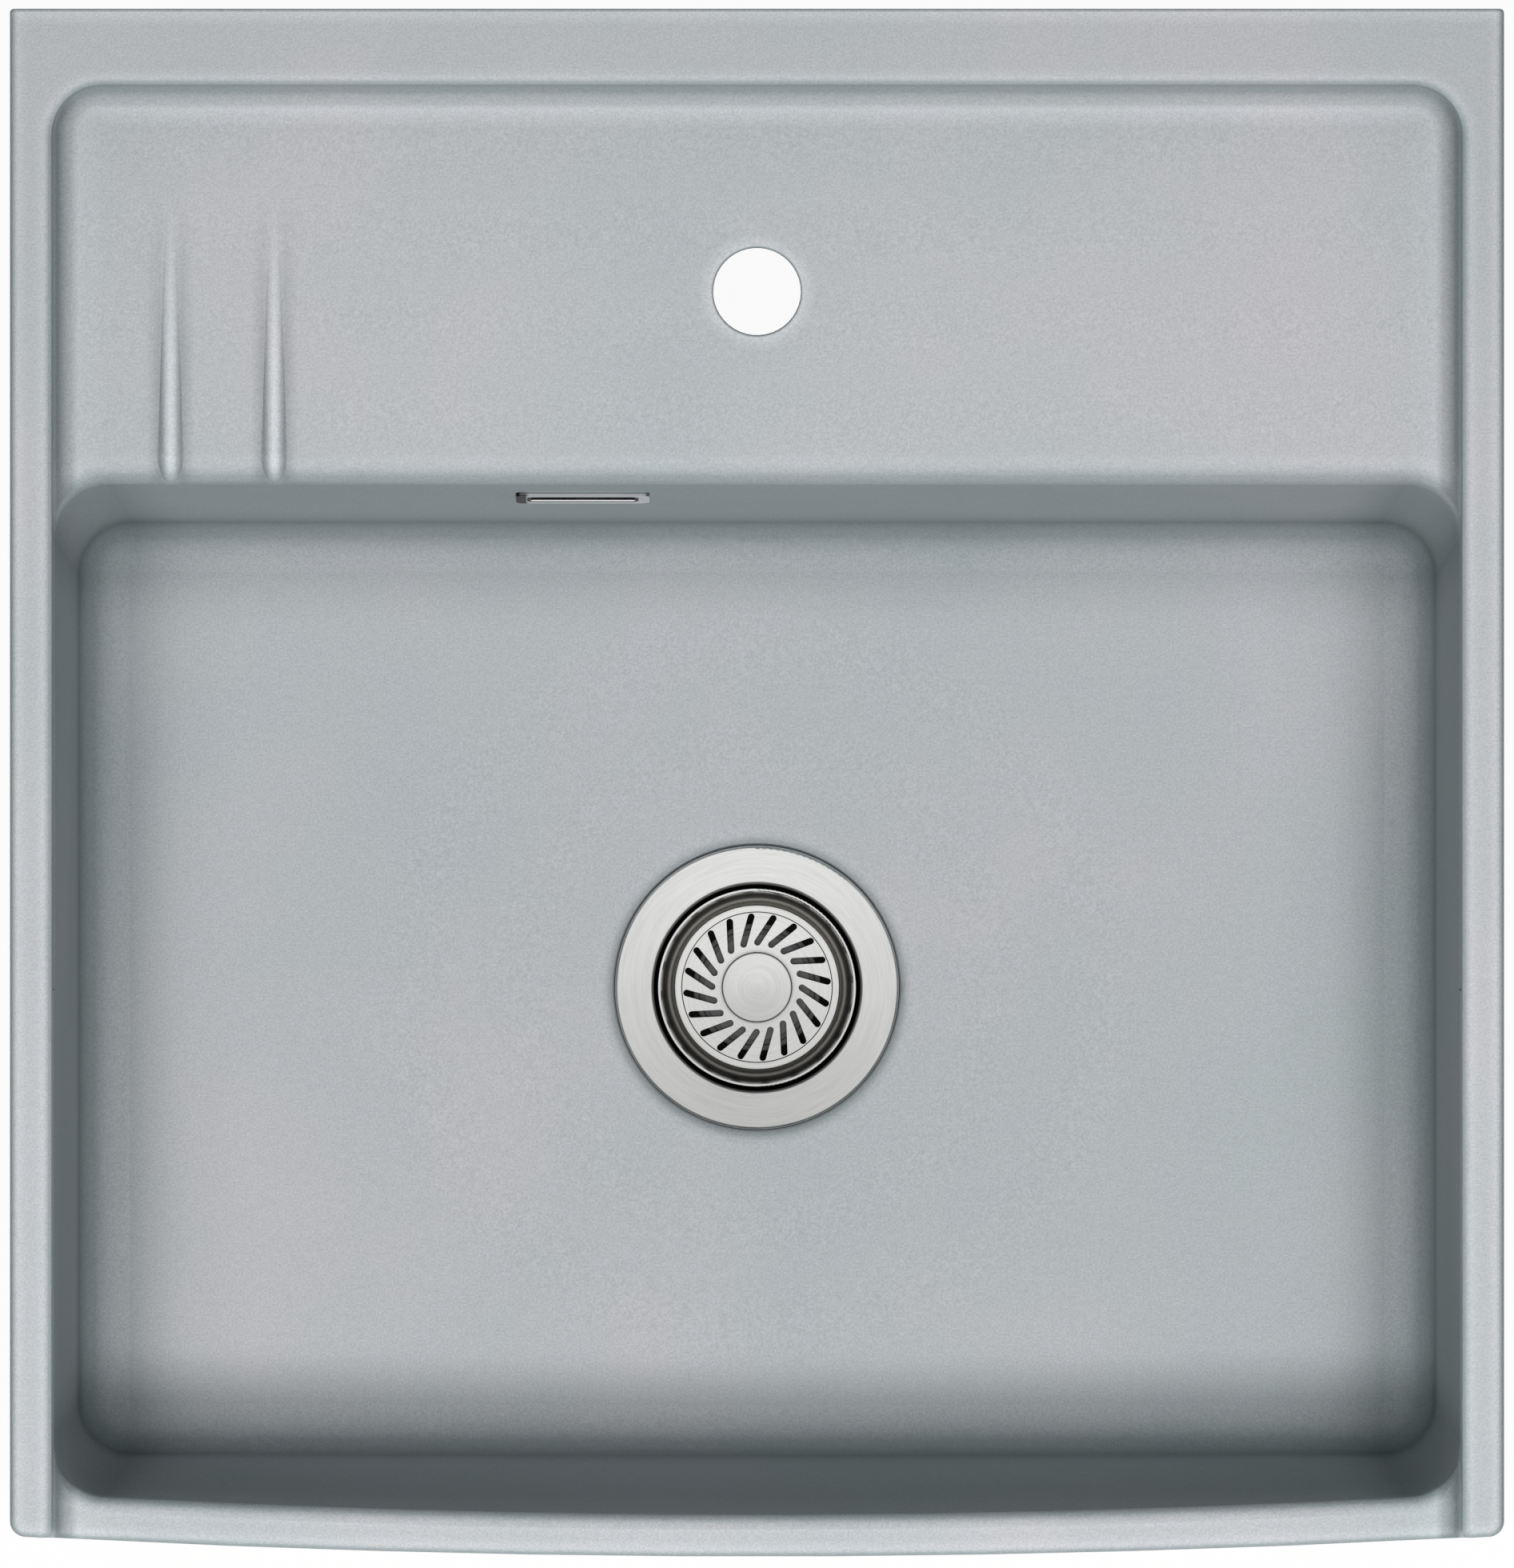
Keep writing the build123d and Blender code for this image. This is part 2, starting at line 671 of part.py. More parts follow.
with BuildPart() as overflow_seal:
    with BuildSketch(seal_face):
        Rectangle(
            elbow_cavity_width + 2 * overflow_seal_margin,
            elbow_cavity_height + 2 * overflow_seal_margin,
        )
        Rectangle(elbow_cavity_width, elbow_cavity_height, mode=Mode.SUBTRACT)
    extrude(amount=overflow_seal_thickness)
finish(overflow_seal, "overflow_seal")

with BuildPart() as overflow_elbow:
    with BuildSketch(elbow_face):
        RectangleRounded(
            elbow_cavity_width + 2 * elbow_flange_margin,
            elbow_cavity_height + 2 * elbow_flange_margin,
            elbow_wall,
        )
    extrude(amount=elbow_flange_thickness)
    with BuildSketch(elbow_face):
        RectangleRounded(
            elbow_cavity_width + 2 * elbow_wall,
            elbow_cavity_height + 2 * elbow_wall,
            elbow_wall,
        )
    extrude(amount=elbow_cavity_depth + elbow_wall)
    with BuildSketch(Plane.XY.offset(spigot_foot)):
        with Locations((overflow_x, pipe_y)):
            Circle(socket_radius)
    extrude(amount=elbow_spigot + elbow_wall)
    with BuildSketch(elbow_face):
        Rectangle(elbow_cavity_width, elbow_cavity_height)
    extrude(amount=elbow_cavity_depth, mode=Mode.SUBTRACT)
    with BuildSketch(Plane.XY.offset(spigot_foot)):
        with Locations((overflow_x, pipe_y)):
            Circle(pipe_bore)
    extrude(amount=elbow_spigot + elbow_wall, mode=Mode.SUBTRACT)
    with BuildSketch(Plane.XY.offset(spigot_foot)):
        with Locations((overflow_x, pipe_y)):
            Circle(socket_bore)
    extrude(amount=socket_length, mode=Mode.SUBTRACT)
finish(overflow_elbow, "overflow_elbow")

# The rigid pipe runs level from the waste body, then turns up behind the bowl
pipe_plane = Plane(origin=(0, 0, 0), x_dir=branch_way, z_dir=branch_way.cross(Vector(0, 0, 1)))
pipe_start = branch_end - pipe_insertion
bend_part = pipe_bend_radius * sin(radians(45))

with BuildPart() as overflow_pipe:
    with BuildLine(pipe_plane) as pipe_line:
        Line((pipe_start, branch_z), (pipe_reach - pipe_bend_radius, branch_z))
        ThreePointArc(
            (pipe_reach - pipe_bend_radius, branch_z),
            (pipe_reach - pipe_bend_radius + bend_part, branch_z + pipe_bend_radius - bend_part),
            (pipe_reach, branch_z + pipe_bend_radius),
        )
        Line((pipe_reach, branch_z + pipe_bend_radius), (pipe_reach, spigot_foot + pipe_insertion))
    with BuildSketch(branch_plane.offset(pipe_start)):
        Circle(pipe_radius)
        Circle(pipe_bore, mode=Mode.SUBTRACT)
    sweep(path=pipe_line.line)
finish(overflow_pipe, "overflow_pipe")


# A compression joint's nut and seal, where the socket's end plane faces along the pipe
def pipe_nut(socket_end):
    with BuildPart() as nut:
        with BuildSketch(socket_end.offset(-nut_grip)):
            RegularPolygon(nut_bore + nut_wall, nut_sides)
            Circle(nut_bore, mode=Mode.SUBTRACT)
        extrude(amount=nut_grip + pipe_seal_thickness)
        with BuildSketch(socket_end.offset(pipe_seal_thickness)):
            RegularPolygon(nut_bore + nut_wall, nut_sides)
            Circle(socket_bore, mode=Mode.SUBTRACT)
        extrude(amount=nut_lip)
    return nut


def pipe_seal(socket_end):
    with BuildPart() as seal:
        with BuildSketch(socket_end):
            Circle(socket_radius)
            Circle(pipe_radius + pipe_seal_clearance, mode=Mode.SUBTRACT)
        extrude(amount=pipe_seal_thickness)
    return seal


upper_end = Plane(origin=(overflow_x, pipe_y, spigot_foot), x_dir=(1, 0, 0), z_dir=(0, 0, -1))
lower_end = branch_plane.offset(branch_end)
for level, socket_end in (("upper", upper_end), ("lower", lower_end)):
    finish(pipe_nut(socket_end), f"{level}_pipe_nut")
    finish(pipe_seal(socket_end), f"{level}_pipe_seal")

# Basket: pressed sheet with a rolled rim, a raised border round its plate and skewed slots
stem_hole = stem_radius + stem_clearance
basket_lean = basket_taper / (basket_top - border_top)
under_rim_radius = basket_mouth_radius + basket_sheet - basket_rim_roll * basket_lean
basket_bend_outside = basket_bend_radius + basket_sheet

with BuildPart() as basket:
    with BuildSketch(Plane.XZ) as section:
        with BuildLine():
            Polyline(
                (stem_hole, plate_top),
                (border_radius, plate_top),
                (border_radius + border_rise, border_top),
                (basket_foot_radius, border_top),
                (basket_mouth_radius, basket_top),
                (basket_rim_radius, basket_top),
                (basket_rim_radius, basket_top - basket_rim_roll),
                (under_rim_radius, basket_top - basket_rim_roll),
                (basket_foot_radius + basket_sheet, border_under),
                (border_radius + border_rise, border_under),
                (border_radius, plate_under),
                (stem_hole, plate_under),
                close=True,
            )
        make_face()
        fillet(corner(section, basket_foot_radius, border_top), basket_bend_radius)
        fillet(corner(section, basket_foot_radius + basket_sheet, border_under), basket_bend_outside)
        fillet(corner(section, basket_rim_radius, basket_top), basket_sheet / 2)
        fillet(corner(section, basket_mouth_radius, basket_top), basket_sheet / 2)
    revolve(axis=Axis.Z)
    with BuildSketch(Plane.XY.offset(plate_under)):
        with PolarLocations(border_radius - slot_inset, slot_count, start_angle=slot_start):
            SlotOverall(slot_length, slot_opening, rotation=-slot_skew)
    extrude(amount=basket_sheet, mode=Mode.SUBTRACT)
finish(basket, "basket")

knob_under = plate_top + knob_gap
knob_top = knob_under + knob_thickness

with BuildPart() as basket_knob:
    with BuildSketch(Plane.XZ) as section:
        with BuildLine():
            Polyline(
                (0, plate_top + stem_in_knob),
                (stem_hole, plate_top + stem_in_knob),
                (stem_hole, plate_top),
                (knob_neck_radius, plate_top),
                (knob_neck_radius, knob_under),
                (knob_radius, knob_under),
                (knob_radius, knob_top),
                (0, knob_top),
                close=True,
            )
        make_face()
        fillet(corner(section, knob_radius, knob_top), knob_edge_radius)
        fillet(corner(section, knob_radius, knob_under), knob_edge_radius)
        fillet(corner(section, knob_neck_radius, knob_under), knob_edge_radius)
    revolve(axis=Axis.Z)
finish(basket_knob, "basket_knob")

with BuildPart() as basket_stem:
    with BuildSketch(Plane.XY.offset(stem_foot)):
        Circle(stem_radius)
    extrude(amount=plate_top + stem_in_knob - stem_foot)
finish(basket_stem, "basket_stem")

groove_foot = plug_foot + plug_groove_rise
groove_top = groove_foot + plug_groove_height

with BuildPart() as plug_carrier:
    with BuildSketch(Plane.XZ):
        with BuildLine():
            Polyline(
                (stem_hole, carrier_recess_top),
                (carrier_recess_radius, carrier_recess_top),
                (carrier_recess_radius, carrier_foot),
                (carrier_radius, carrier_foot),
                (carrier_radius, groove_foot),
                (carrier_radius - plug_groove_depth, groove_foot),
                (carrier_radius - plug_groove_depth, groove_top),
                (carrier_radius, groove_top),
                (carrier_radius, carrier_top),
                (carrier_boss_radius, carrier_top),
                (carrier_boss_radius, plate_under),
                (stem_hole, plate_under),
                close=True,
            )
        make_face()
    revolve(axis=Axis.Z)
finish(plug_carrier, "plug_carrier")

plug_bore = carrier_radius + plug_clearance
plug_bead = carrier_radius - plug_groove_depth + plug_clearance
plug_top = carrier_top - plug_top_drop

with BuildPart() as plug_seal:
    with BuildSketch(Plane.XZ) as section:
        with BuildLine():
            Polyline(
                (plug_bore, plug_foot),
                (plug_radius, plug_foot),
                (plug_radius, plug_top),
                (plug_bore, plug_top),
                (plug_bore, groove_top - plug_clearance),
                (plug_bead, groove_top - plug_clearance),
                (plug_bead, groove_foot + plug_clearance),
                (plug_bore, groove_foot + plug_clearance),
                close=True,
            )
        make_face()
        fillet(corner(section, plug_radius, plug_foot), plug_edge_radius)
        fillet(corner(section, plug_radius, plug_top), plug_edge_radius)
    revolve(axis=Axis.Z)
finish(plug_seal, "plug_seal")

with BuildPart() as stem_nut:
    with BuildSketch(Plane.XY.offset(nut_foot)):
        RegularPolygon(stem_nut_width / 2, 6, major_radius=False)
        Circle(stem_hole, mode=Mode.SUBTRACT)
    extrude(amount=stem_nut_height)
finish(stem_nut, "stem_nut")
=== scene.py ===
import math

import bmesh
import bpy
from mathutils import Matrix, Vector


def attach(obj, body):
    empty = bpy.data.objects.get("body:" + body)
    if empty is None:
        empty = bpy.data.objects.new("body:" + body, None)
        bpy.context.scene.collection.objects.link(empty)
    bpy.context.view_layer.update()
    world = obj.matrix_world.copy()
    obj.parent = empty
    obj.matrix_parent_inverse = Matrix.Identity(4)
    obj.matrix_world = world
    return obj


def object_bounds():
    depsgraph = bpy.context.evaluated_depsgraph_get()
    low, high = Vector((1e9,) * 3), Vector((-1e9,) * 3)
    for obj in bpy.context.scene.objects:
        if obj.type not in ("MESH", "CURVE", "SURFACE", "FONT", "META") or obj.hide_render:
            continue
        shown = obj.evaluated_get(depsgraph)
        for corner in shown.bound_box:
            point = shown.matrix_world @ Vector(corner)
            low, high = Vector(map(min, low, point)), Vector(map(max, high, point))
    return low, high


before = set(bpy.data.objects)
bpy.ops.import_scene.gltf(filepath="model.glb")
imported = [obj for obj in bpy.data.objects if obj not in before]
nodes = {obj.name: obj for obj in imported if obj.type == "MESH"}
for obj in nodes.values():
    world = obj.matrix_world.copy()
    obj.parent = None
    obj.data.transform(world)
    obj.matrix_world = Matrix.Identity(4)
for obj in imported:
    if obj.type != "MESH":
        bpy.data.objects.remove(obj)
cadLow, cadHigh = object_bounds()
print("frame loaded:", len(nodes), "nodes")

white = (1.0, 1.0, 1.0)


def put(tree, socket, value):
    # links a socket, or sets a number or a colour
    if isinstance(value, bpy.types.NodeSocket):
        tree.links.new(value, socket)
    elif isinstance(value, tuple) and socket.type == "RGBA":
        socket.default_value = (*value, 1.0)
    else:
        socket.default_value = value


def doMath(tree, operation, first, second=0.0):
    node = tree.nodes.new("ShaderNodeMath")
    node.operation = operation
    put(tree, node.inputs[0], first)
    put(tree, node.inputs[1], second)
    return node.outputs[0]


def times(tree, *values):
    total = values[0]
    for value in values[1:]:
        total = doMath(tree, "MULTIPLY", total, value)
    return total


def weighted(tree, first, second, share):
    return doMath(tree, "ADD", times(tree, first, share), times(tree, second, 1.0 - share))


def hypotenuse(tree, first, second):
    squares = [doMath(tree, "POWER", side, 2.0) for side in (first, second)]
    return doMath(tree, "SQRT", doMath(tree, "ADD", *squares))


def spread(tree, value, fromLow, fromHigh, toLow, toHigh):
    node = tree.nodes.new("ShaderNodeMapRange")
    put(tree, node.inputs["Value"], value)
    sockets = ("From Min", "From Max", "To Min", "To Max")
    for socket, number in zip(sockets, (fromLow, fromHigh, toLow, toHigh)):
        put(tree, node.inputs[socket], number)
    return node.outputs["Result"]


def rise(tree, value, span):
    # 0 before the span, 1 past it
    return spread(tree, value, *span, 0.0, 1.0)


def fall(tree, value, span):
    return spread(tree, value, *span, 1.0, 0.0)


def grey(tone):
    return (tone, tone, tone)


def mixColours(tree, factor, first, second, blend="MIX"):
    node = tree.nodes.new("ShaderNodeMix")
    node.data_type = "RGBA"
    node.blend_type = blend
    put(tree, node.inputs[0], factor)
    put(tree, node.inputs[6], first)
    put(tree, node.inputs[7], second)
    return node.outputs[2]


def tinted(tree, colour, tone):
    return mixColours(tree, 1.0, colour, tone, "MULTIPLY")


def ringTones(tree, distance, rings):
    # a tone for each given distance, run together between them
    first, last = rings[0][0], rings[-1][0]
    node = tree.nodes.new("ShaderNodeValToRGB")
    put(tree, node.inputs["Fac"], rise(tree, distance, (first, last)))
    stops = node.color_ramp.elements
    stops[0].color = (*rings[0][1], 1.0)
    stops[-1].color = (*rings[-1][1], 1.0)
    for ring, tone in rings[1:-1]:
        stops.new((ring - first) / (last - first)).color = (*tone, 1.0)
    return node.outputs["Color"]


def noise(tree, vector, scale, detail, roughness=0.5):
    node = tree.nodes.new("ShaderNodeTexNoise")
    put(tree, node.inputs["Vector"], vector)
    put(tree, node.inputs["Scale"], scale)
    put(tree, node.inputs["Detail"], detail)
    put(tree, node.inputs["Roughness"], roughness)
    return node.outputs["Fac"]


def splitXyz(tree, vector):
    node = tree.nodes.new("ShaderNodeSeparateXYZ")
    put(tree, node.inputs[0], vector)
    return node.outputs


def flatRadius(tree, place):
    # distance from the upright axis through the waste
    return hypotenuse(tree, place["X"], place["Y"])


def plainShader(tree, kind, colour, strength=None):
    node = tree.nodes.new(kind)
    put(tree, node.inputs["Color"], colour)
    if strength is not None:
        put(tree, node.inputs["Strength"], strength)
    return node.outputs[0]


def mixShaders(tree, factor, first, second):
    node = tree.nodes.new("ShaderNodeMixShader")
    for socket, source in zip(node.inputs, (factor, first, second)):
        put(tree, socket, source)
    return node.outputs[0]


studio = {
    "cameraHeight": 12.0,  # above the rim, far enough for the photo's flat look
    "cameraY": 0.0824,  # middle of the photo
    "cameraReach": 100.0,
    "sensor": 36.0,
    "frameHeight": 0.6241,  # what the picture's height covers at the rim
    "floorSize": 30.0,
    "floorGap": 0.0005,  # under the outlet
    "floorColour": (0.9, 0.9, 0.9),
    "floorShade": 0.06,  # share of the real floor in the white one
    "domeLevel": 0.03,
    "domeColour": (0.86, 0.96, 1.0),
    "keyWatts": 180.0,  # high overhead, so upright walls stay dark
    "keySize": (5.0, 1.8),
    "keyPlace": (0.0, -0.05, 6.0),
    "frontWatts": 14.5,  # over the front edge, for the brighter lip
    "frontSize": (0.9, 0.3),
    "frontPlace": (0.0, -0.5, 1.6),
    "lowWatts": 26.0,  # far out in front, for the faces that look forward
    "lowSize": (1.5, 0.5),
    "lowPlace": (0.0, -3.0, 1.3),
    "backWatts": 14.0,  # low behind it, so the back isn't lost
    "backSize": (1.5, 0.5),
    "backPlace": (0.0, 3.2, 0.3),
    "underWatts": 12.0,  # stands in for the light that a white floor sends back up
    "underSize": (1.6, 1.6),
    "underPlace": (0.0, 0.08, -1.4),
    "aim": (0.0, 0.08, 0.1),
}


def makeCamera(values):
    data = bpy.data.cameras.new("camera")
    data.sensor_width = values["sensor"]
    data.lens = values["sensor"] * values["cameraHeight"] / values["frameHeight"]
    data.clip_end = values["cameraReach"]
    camera = bpy.data.objects.new("camera", data)
    camera.location = (0.0, values["cameraY"], cadHigh.z + values["cameraHeight"])
    bpy.context.scene.collection.objects.link(camera)
    bpy.context.scene.camera = camera


def whiteWhereSeen(tree, share):
    # share for camera, mirror and lens rays, 0 for the rays that light the object
    rays = tree.nodes.new("ShaderNodeLightPath").outputs
    seen = doMath(tree, "MAXIMUM", rays["Is Camera Ray"], rays["Is Glossy Ray"])
    seen = doMath(tree, "MAXIMUM", seen, rays["Is Transmission Ray"])
    return times(tree, seen, share)


def makeWorld(values):
    world = bpy.data.worlds.new("studioWorld")
    bpy.context.scene.world = world
    world.use_nodes = True
    tree = world.node_tree
    tree.nodes.clear()
    dome = plainShader(tree, "ShaderNodeBackground", values["domeColour"], values["domeLevel"])
    paper = plainShader(tree, "ShaderNodeBackground", white, 1.0)
    out = tree.nodes.new("ShaderNodeOutputWorld")
    put(tree, out.inputs["Surface"], mixShaders(tree, whiteWhereSeen(tree, 1.0), dome, paper))


def makeFloorPaper(values):
    paper = bpy.data.materials.new("floorPaper")
    paper.use_nodes = True
    tree = paper.node_tree
    tree.nodes.clear()
    matt = plainShader(tree, "ShaderNodeBsdfDiffuse", values["floorColour"])
    glow = plainShader(tree, "ShaderNodeEmission", white)
    top = mixShaders(tree, whiteWhereSeen(tree, 1.0 - values["floorShade"]), matt, glow)
    # clear from below and to the lamp there, so the underside shows
    clear = tree.nodes.new("ShaderNodeBsdfTransparent").outputs[0]
    fromBelow = tree.nodes.new("ShaderNodeNewGeometry").outputs["Backfacing"]
    toLamp = tree.nodes.new("ShaderNodeLightPath").outputs["Is Shadow Ray"]
    seeThrough = doMath(tree, "MAXIMUM", fromBelow, toLamp)
    out = tree.nodes.new("ShaderNodeOutputMaterial")
    put(tree, out.inputs["Surface"], mixShaders(tree, seeThrough, top, clear))
    return paper


def makeFloor(values):
    mesh = bpy.data.meshes.new("floor")
    bm = bmesh.new()
    bmesh.ops.create_grid(bm, x_segments=1, y_segments=1, size=values["floorSize"] / 2)
    bmesh.ops.translate(bm, verts=bm.verts, vec=(0.0, 0.0, cadLow.z - values["floorGap"]))
    bm.to_mesh(mesh)
    bm.free()
    mesh.materials.append(makeFloorPaper(values))
    floor = bpy.data.objects.new("floor", mesh)
    bpy.context.scene.collection.objects.link(floor)


def makeLamp(name, values):
    data = bpy.data.lights.new(name, "AREA")
    data.shape = "RECTANGLE"
    data.size, data.size_y = values[name + "Size"]
    data.energy = values[name + "Watts"]
    lamp = bpy.data.objects.new(name, data)
    place = Vector(values[name + "Place"])
    lamp.location = place
    lamp.rotation_euler = (Vector(values["aim"]) - place).to_track_quat("-Z", "Y").to_euler()
    lamp.visible_glossy = False  # metal mirrors the white round it, not the lamp
    bpy.context.scene.collection.objects.link(lamp)


makeCamera(studio)
makeWorld(studio)
makeFloor(studio)
for lampName in ("key", "front", "low", "back", "under"):
    makeLamp(lampName, studio)
bpy.context.scene.view_settings.view_transform = "Standard"
print("studio ready")


def startGroup(name, takes, gives):
    group = bpy.data.node_groups.new(name, "ShaderNodeTree")
    group.interface.new_socket(name="Vector", in_out="INPUT", socket_type="NodeSocketVector")
    for socketName, value in takes.items():
        socket = group.interface.new_socket(name=socketName, in_out="INPUT", socket_type="NodeSocketFloat")
        socket.default_value = value
    for socketName in gives:
        group.interface.new_socket(name=socketName, in_out="OUTPUT", socket_type="NodeSocketFloat")
    given = group.nodes.new("NodeGroupInput").outputs
    result = group.nodes.new("NodeGroupOutput").inputs
    return group, given, result


cloudShape = {
    "detail": 3.0,
    "roughness": 0.55,
    "reach": 0.2,  # of the noise each side of its middle, at Contrast 1
}


def makeCloudsGroup(values):
    # soft patches of tone, Size metres across
    group, given, result = startGroup("softClouds", {"Size": 0.1, "Contrast": 1.0}, ["Mask"])
    scale = doMath(group, "DIVIDE", 1.0, given["Size"])
    field = noise(group, given["Vector"], scale, values["detail"], values["roughness"])
    reach = doMath(group, "DIVIDE", values["reach"], given["Contrast"])
    span = doMath(group, "SUBTRACT", 0.5, reach), doMath(group, "ADD", 0.5, reach)
    put(group, result["Mask"], rise(group, field, span))
    return group


grainShape = {
    "coarseScale": 0.31,  # of the fine grain's
    "fineShare": 0.85,
    "span": (0.3, 0.7),
}


def makeGrainGroup(values):
    # fine sandy grain: Shade runs about 0 to 1 round 0.5, Height is for a Bump node
    group, given, result = startGroup("fineGrain", {"Size": 0.001}, ["Shade", "Height"])
    scale = doMath(group, "DIVIDE", 1.0, given["Size"])
    fine = noise(group, given["Vector"], scale, 1.0)
    coarse = noise(group, given["Vector"], times(group, scale, values["coarseScale"]), 0.0)
    both = weighted(group, fine, coarse, values["fineShare"])
    put(group, result["Shade"], rise(group, both, values["span"]))
    put(group, result["Height"], both)
    return group


turnedShape = {
    "streaks": 55.0,  # noise steps a metre, along the lines
    "detail": 2.0,
    "roughness": 0.6,
    "span": (0.28, 0.72),
}


def makeTurnedGroup(values):
    # fine lines left by turning or brushing round the upright axis
    group, given, result = startGroup("turnedLines", {"Pitch": 0.0006}, ["Shade", "Height"])
    place = splitXyz(group, given["Vector"])
    across = doMath(group, "ADD", flatRadius(group, place), place["Z"])
    lines = group.nodes.new("ShaderNodeCombineXYZ")
    put(group, lines.inputs["X"], doMath(group, "DIVIDE", across, given["Pitch"]))
    put(group, lines.inputs["Y"], times(group, place["X"], values["streaks"]))
    put(group, lines.inputs["Z"], times(group, place["Y"], values["streaks"]))
    field = noise(group, lines.outputs[0], 1.0, values["detail"], values["roughness"])
    put(group, result["Shade"], rise(group, field, values["span"]))
    put(group, result["Height"], field)
    return group


softClouds = makeCloudsGroup(cloudShape)
fineGrain = makeGrainGroup(grainShape)
turnedLines = makeTurnedGroup(turnedShape)
print("shared effects ready")


def startMaterial(name):
    material = bpy.data.materials.new(name)
    material.use_nodes = True
    tree = material.node_tree
    where = tree.nodes.new("ShaderNodeTexCoord").outputs
    return material, tree, tree.nodes["Principled BSDF"].inputs, where


def useGroup(tree, group, **values):
    node = tree.nodes.new("ShaderNodeGroup")
    node.node_tree = group
    for socketName, value in values.items():
        put(tree, node.inputs[socketName], value)
    return node.outputs


def addBump(tree, shader, height, strength, distance):
    bump = tree.nodes.new("ShaderNodeBump")
    put(tree, bump.inputs["Strength"], strength)
    put(tree, bump.inputs["Distance"], distance)
    put(tree, bump.inputs["Height"], height)
    put(tree, shader["Normal"], bump.outputs["Normal"])


def occlusion(tree, reach, samples, inside=False):
    node = tree.nodes.new("ShaderNodeAmbientOcclusion")
    node.only_local = True
    node.inside = inside
    node.samples = samples
    put(tree, node.inputs["Distance"], reach)
    return node.outputs["AO"]


glazeLook = {
    "lilacGrey": (0.488, 0.484, 0.507),
    "tealGrey": (0.423, 0.458, 0.470),
    "patch": 0.15,
    "patchShare": 0.92,  # the rest is small patches
    "smallPatch": 0.02,
    "smallContrast": 0.8,
    "grain": 0.0008,
    "grainDark": 0.89,
    "bump": (0.25, 0.0002),  # strength and depth
    "roughness": (0.62, 0.72),
    "specular": 0.04,
    "samples": 4,  # to find hollows and edges
    "paintedShadeReach": 0.044,  # painted shade: darker in hollows, found by occlusion within this reach
    "paintedShadeSpan": (0.50, 0.98),
    "paintedShadeTone": (0.266, 0.320, 0.316),
    "ledgeHeights": (0.190, 0.203),  # less of the painted shade up on the ledge
    "ledgePaintedShade": 0.62,
    "backRun": (0.09, 0.15),  # and along the bowl's back
    "backPaintedShade": 0.72,
    "sideRun": (0.20, 0.26),  # more along its sides
    "sidePaintedShade": 1.16,
    "steepSpan": (0.70, 1.0),  # painted shade: a little darker down the steep faces inside, by how far they look up
    "steepTone": (0.650, 0.704, 0.700),
    "edgeReach": 0.007,  # painted highlight: paler over rounded edges, found by occlusion inside within this reach
    "edgeSpan": (0.55, 0.95),
    "edgeTone": 1.28,
    "rawClay": (0.60, 0.53, 0.43),  # bare body where it stood in the kiln
    "rawDark": (0.47, 0.40, 0.31),
    "rawSpan": (-0.9, -0.6),  # on faces that look down
    "rawRoughness": 0.3,  # added there
    "outside": {  # spans where each outer face begins or ends
        "side": (0.2925, 0.2945),
        "back": (0.3865, 0.3885),
        "rimTop": (0.2140, 0.2165),
        "front": (-0.2135, -0.2115),
        "lipTop": (0.2005, 0.2030),
        "bowlBack": (0.2140, 0.2160),
        "ledgeUnder": (0.1880, 0.1893),
    },
    "ribs": {  # painted highlight on the two ribs, painted shade along their feet
        "places": (-0.2338, -0.1925),
        "start": (0.318, 0.250),
        "end": (0.2010, 0.2055),
        "heights": (0.190, 0.194),  # on the ledge only
        "crest": (0.0006, 0.0025),  # these three from a rib's middle
        "footIn": (0.0020, 0.0042),
        "footOut": (0.0048, 0.0095),
        "crestTone": 1.26,
        "footTone": 0.76,
    },
    "cove": {  # painted shade up the step round the ledge and lip, painted highlight where its cove runs out
        "halfX": 0.2705,  # the line where it runs out
        "backY": 0.3508,
        "corner": 0.009,
        "turn": (-0.006, 0.006),  # from back to side
        "heights": (0.1965, 0.1985),  # not down in the bowl
        "brightest": 2.0,  # tone that a ramp's white stands for
        "side": (  # tone by distance past that line, up to the rim
            (-0.030, 1.0), (-0.012, 1.03), (-0.003, 1.12), (0.0, 1.18), (0.0012, 1.08), (0.003, 0.87),
            (0.0055, 0.77), (0.0086, 0.70), (0.0096, 1.08), (0.0106, 1.36), (0.0115, 1.10), (0.0125, 1.0),
        ),
        "back": (
            (-0.030, 1.0), (-0.007, 1.01), (-0.002, 1.17), (0.0004, 1.27), (0.0014, 1.15), (0.0025, 0.99),
            (0.0042, 0.93), (0.0080, 0.95), (0.0088, 1.0), (0.0099, 1.12), (0.0115, 1.0),
        ),
    },
}


def outsideMask(tree, place, values):
    # 1 on the upright outer faces: the sides and back, the front, and the bowl under the ledge
    side = rise(tree, doMath(tree, "ABSOLUTE", place["X"]), values["side"])
    sideOrBack = doMath(tree, "MAXIMUM", side, rise(tree, place["Y"], values["back"]))
    rim = times(tree, sideOrBack, fall(tree, place["Z"], values["rimTop"]))
    front = times(tree, fall(tree, place["Y"], values["front"]), fall(tree, place["Z"], values["lipTop"]))
    bowl = times(tree, rise(tree, place["Y"], values["bowlBack"]), fall(tree, place["Z"], values["ledgeUnder"]))
    return doMath(tree, "MAXIMUM", rim, doMath(tree, "MAXIMUM", front, bowl))


